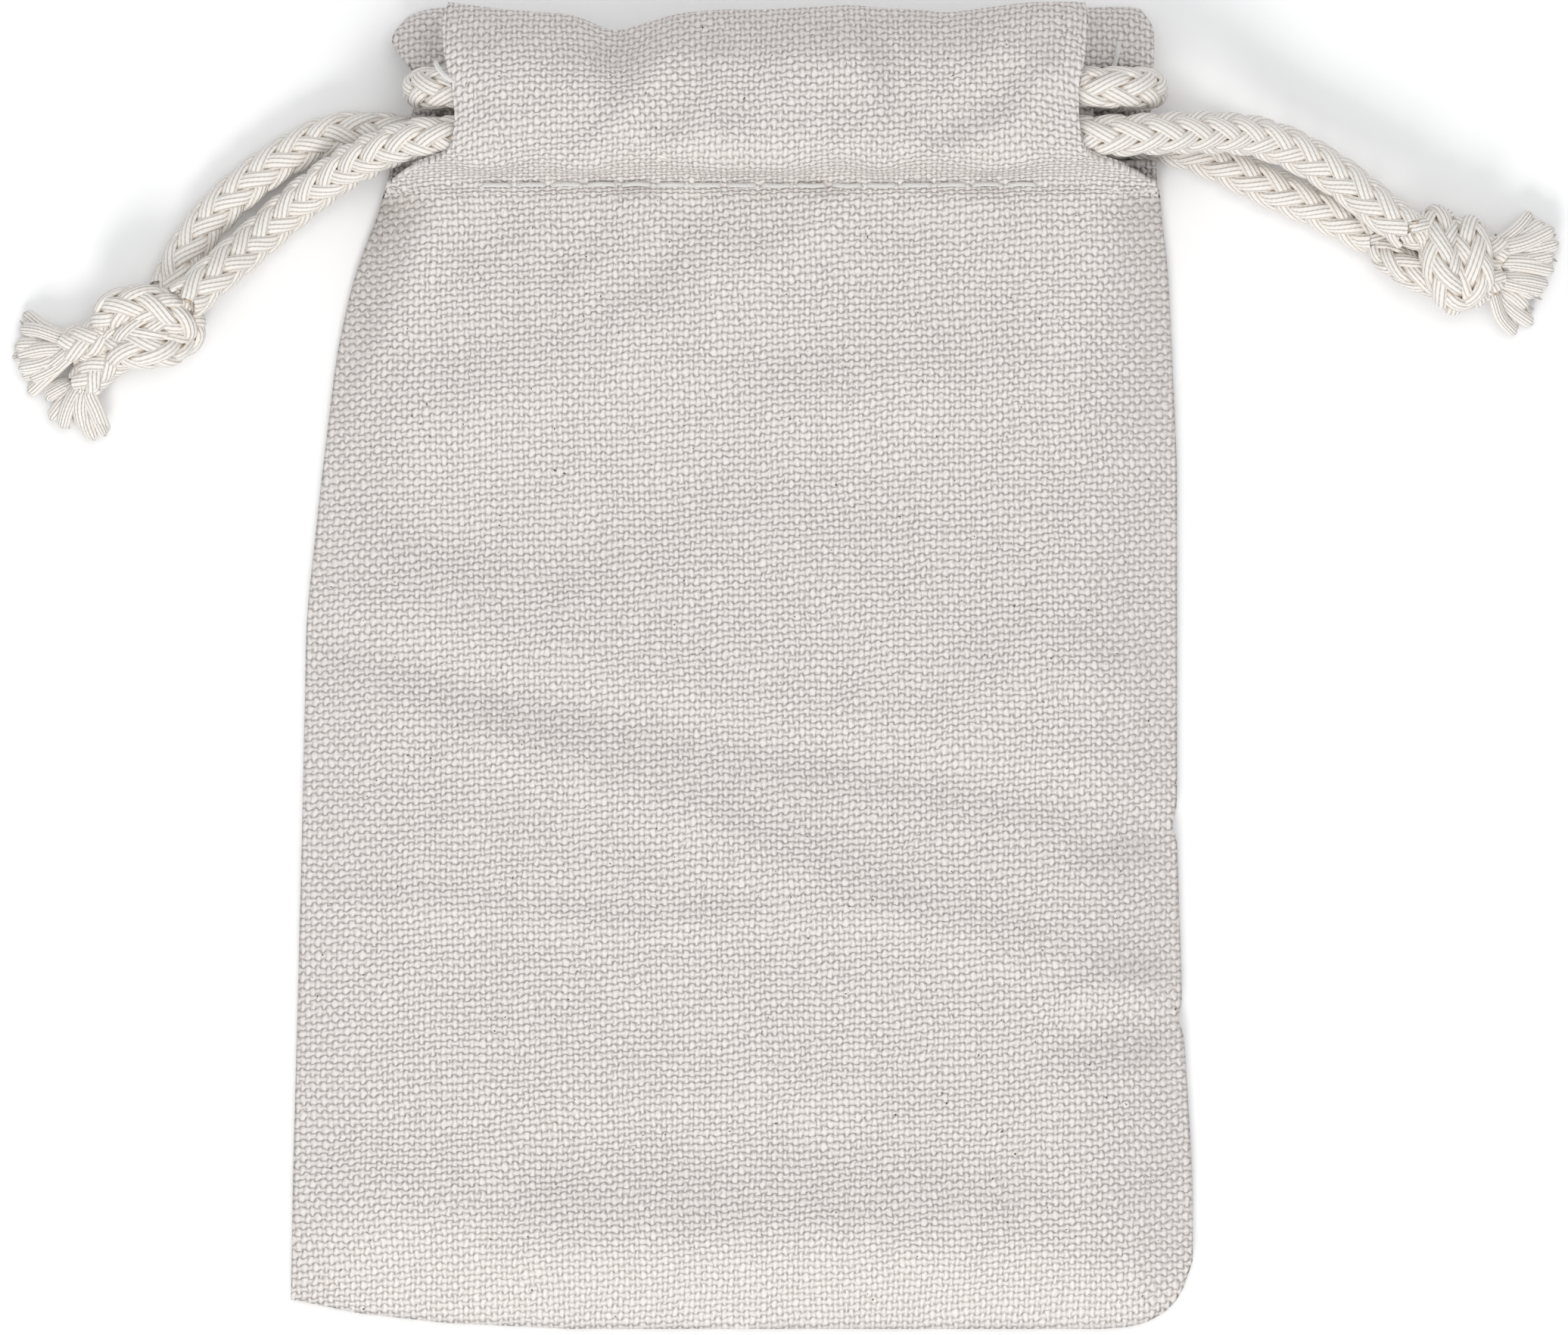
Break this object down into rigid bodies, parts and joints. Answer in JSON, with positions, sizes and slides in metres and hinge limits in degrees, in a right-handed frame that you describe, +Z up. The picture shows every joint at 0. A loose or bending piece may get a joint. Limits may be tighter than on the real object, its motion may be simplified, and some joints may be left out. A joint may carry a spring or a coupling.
{
  "type": "drawstring pouch",
  "caption": "Flat-lying natural canvas pouch for knitting notions, with stitched drawstring casings and knotted braided cords that pull it shut from both sides.",
  "frame": {"origin": "middle of the face that the pouch rests on, cords left out", "axes": "+X to the right, +Y from the bottom edge towards the mouth, +Z up from the resting face through the front panel"},
  "size_m": [0.1783, 0.152, 0.0213],
  "materials": {
    "canvas": "matte plain weave, unbleached",
    "cotton_cord": "matte braided cotton",
    "sewing_thread": "slightly lustrous thread"
  },
  "bodies": {
    "pouch": {"back_panel": "canvas", "front_panel": "canvas", "back_casing": "canvas", "front_casing": "canvas", "bottom_seam_allowance": "canvas", "bottom_seam_stitches": "sewing_thread", "bottom_overlock_thread": "sewing_thread", "front_casing_stitches": "sewing_thread", "back_casing_stitches": "sewing_thread"},
    "left_side": {"left_seam_allowance": "canvas", "left_seam_stitches": "sewing_thread", "left_overlock_thread": "sewing_thread", "left_bar_tack": "sewing_thread", "front_left_slit_hem": "canvas", "back_left_slit_hem": "canvas"},
    "right_side": {"right_seam_allowance": "canvas", "right_seam_stitches": "sewing_thread", "right_overlock_thread": "sewing_thread", "right_bar_tack": "sewing_thread", "front_right_slit_hem": "canvas", "back_right_slit_hem": "canvas"},
    "left_cord": {"left_drawstring": "cotton_cord", "left_knot": "cotton_cord", "left_frayed_ends": "cotton_cord"},
    "right_cord": {"right_drawstring": "cotton_cord", "right_knot": "cotton_cord", "right_frayed_ends": "cotton_cord"}
  },
  "joints": [
    {"name": "left_cord_pull", "type": "slide", "parent": "pouch", "child": "left_cord", "axis": [-1, 0, 0], "range_m": [-0.004, 0.022], "deforming": ["left_drawstring"]},
    {"name": "right_cord_pull", "type": "slide", "parent": "pouch", "child": "right_cord", "axis": [1, 0, 0], "range_m": [-0.004, 0.022], "deforming": ["right_drawstring"]},
    {"name": "right_side_lean", "type": "hinge", "parent": "pouch", "child": "right_side", "pos_m": [0.0518, -0.0726, 0], "axis": [0, 0, 1], "range_deg": [-1.7, 9.2], "deforming": ["back_panel", "front_panel", "back_casing", "front_casing", "back_casing_stitches", "front_casing_stitches"]},
    {"name": "left_side_lean", "type": "hinge", "parent": "pouch", "child": "left_side", "pos_m": [-0.0518, -0.0726, 0], "axis": [0, 0, -1], "range_deg": [-1.7, 9.2], "deforming": ["back_panel", "front_panel", "back_casing", "front_casing", "back_casing_stitches", "front_casing_stitches"]}
  ],
  "couplings": [
    {"joint": "right_side_lean", "follows": "left_cord_pull", "rad_per_m": 7.25},
    {"joint": "left_side_lean", "follows": "right_cord_pull", "rad_per_m": 7.25}
  ]
}
